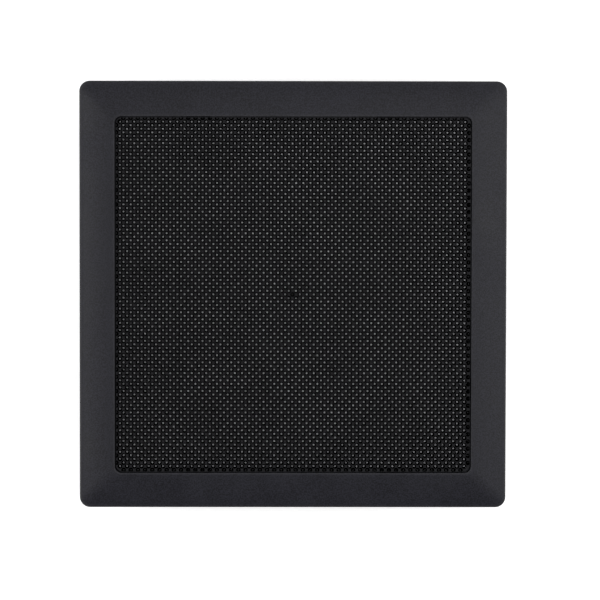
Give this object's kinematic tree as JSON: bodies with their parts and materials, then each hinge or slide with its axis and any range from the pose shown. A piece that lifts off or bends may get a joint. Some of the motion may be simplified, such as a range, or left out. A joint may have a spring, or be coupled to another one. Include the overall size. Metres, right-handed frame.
{
  "type": "mesh wifi node",
  "caption": "Flat square wireless network node with a sloping moulded bezel round a perforated front panel, a screwed back shell, side sockets and a twist-lock wall bracket.",
  "frame": {"origin": "centre of the plane that the four feet and the wall bracket rest on", "axes": "+Z out of the perforated front, +Y towards the upper edge when the node hangs on a wall, -Y towards the sockets"},
  "size_m": [0.18, 0.18, 0.036],
  "materials": {
    "charcoal_plastic": "matte, fine moulded grain",
    "black_plastic": "satin",
    "screen_fabric": "fine weave",
    "smoked_lens": "polished",
    "rubber": "matte",
    "board_laminate": "satin lacquer",
    "tinned_steel": "bright",
    "aluminium": "extruded",
    "screw_steel": "zinc plated",
    "brass": "gold plated",
    "thermal_pad": "matte",
    "white_plastic": "satin"
  },
  "bodies": {
    "housing": {"front_bezel": "charcoal_plastic", "rear_housing": "charcoal_plastic", "main_board": "board_laminate", "processor": "black_plastic", "processor_shield": "tinned_steel", "thermal_pad": "thermal_pad", "heat_sink": "aluminium", "heat_sink_pin_1": "white_plastic", "heat_sink_pin_2": "white_plastic", "radio_shield_low_band": "tinned_steel", "radio_shield_high_band": "tinned_steel", "status_led": "white_plastic", "led_light_pipe": "smoked_lens", "wan_jack": "tinned_steel", "lan_jack": "tinned_steel", "power_inlet": "black_plastic", "inlet_pin": "brass", "sync_switch": "black_plastic", "reset_switch": "black_plastic", "antenna_left": "board_laminate", "antenna_lead_left": "black_plastic", "coax_plug_left": "brass", "antenna_upper_left": "board_laminate", "antenna_lead_upper_left": "black_plastic", "coax_plug_upper_left": "brass", "antenna_upper_right": "board_laminate", "antenna_lead_upper_right": "black_plastic", "coax_plug_upper_right": "brass", "antenna_right": "board_laminate", "antenna_lead_right": "black_plastic", "coax_plug_right": "brass", "housing_screw_1": "screw_steel", "board_screw_1": "screw_steel", "foot_1": "rubber", "housing_screw_2": "screw_steel", "board_screw_2": "screw_steel", "foot_2": "rubber", "housing_screw_3": "screw_steel", "board_screw_3": "screw_steel", "foot_3": "rubber", "housing_screw_4": "screw_steel", "board_screw_4": "screw_steel", "foot_4": "rubber"},
    "grille": {"grille_panel": "black_plastic", "dust_screen": "screen_fabric"},
    "sync_button": {"sync_button": "black_plastic"},
    "reset_button": {"reset_button": "black_plastic"},
    "wall_bracket": {"wall_bracket": "charcoal_plastic"}
  },
  "joints": [
    {"name": "grille_lift", "type": "slide", "parent": "housing", "child": "grille", "axis": [0, 0, 1], "range_m": [0, 0.025]},
    {"name": "sync_press", "type": "slide", "parent": "housing", "child": "sync_button", "axis": [0, 1, 0], "range_m": [0, 0.0006], "stiffness_N_per_m": 1500, "springref_m": -0.0004},
    {"name": "reset_press", "type": "slide", "parent": "housing", "child": "reset_button", "axis": [0, 1, 0], "range_m": [0, 0.0005], "stiffness_N_per_m": 1500, "springref_m": -0.0004},
    {"name": "bracket_twist", "type": "hinge", "parent": "housing", "child": "wall_bracket", "pos_m": [0, 0, 0], "axis": [0, 0, 1], "range_deg": [0, 32]}
  ]
}
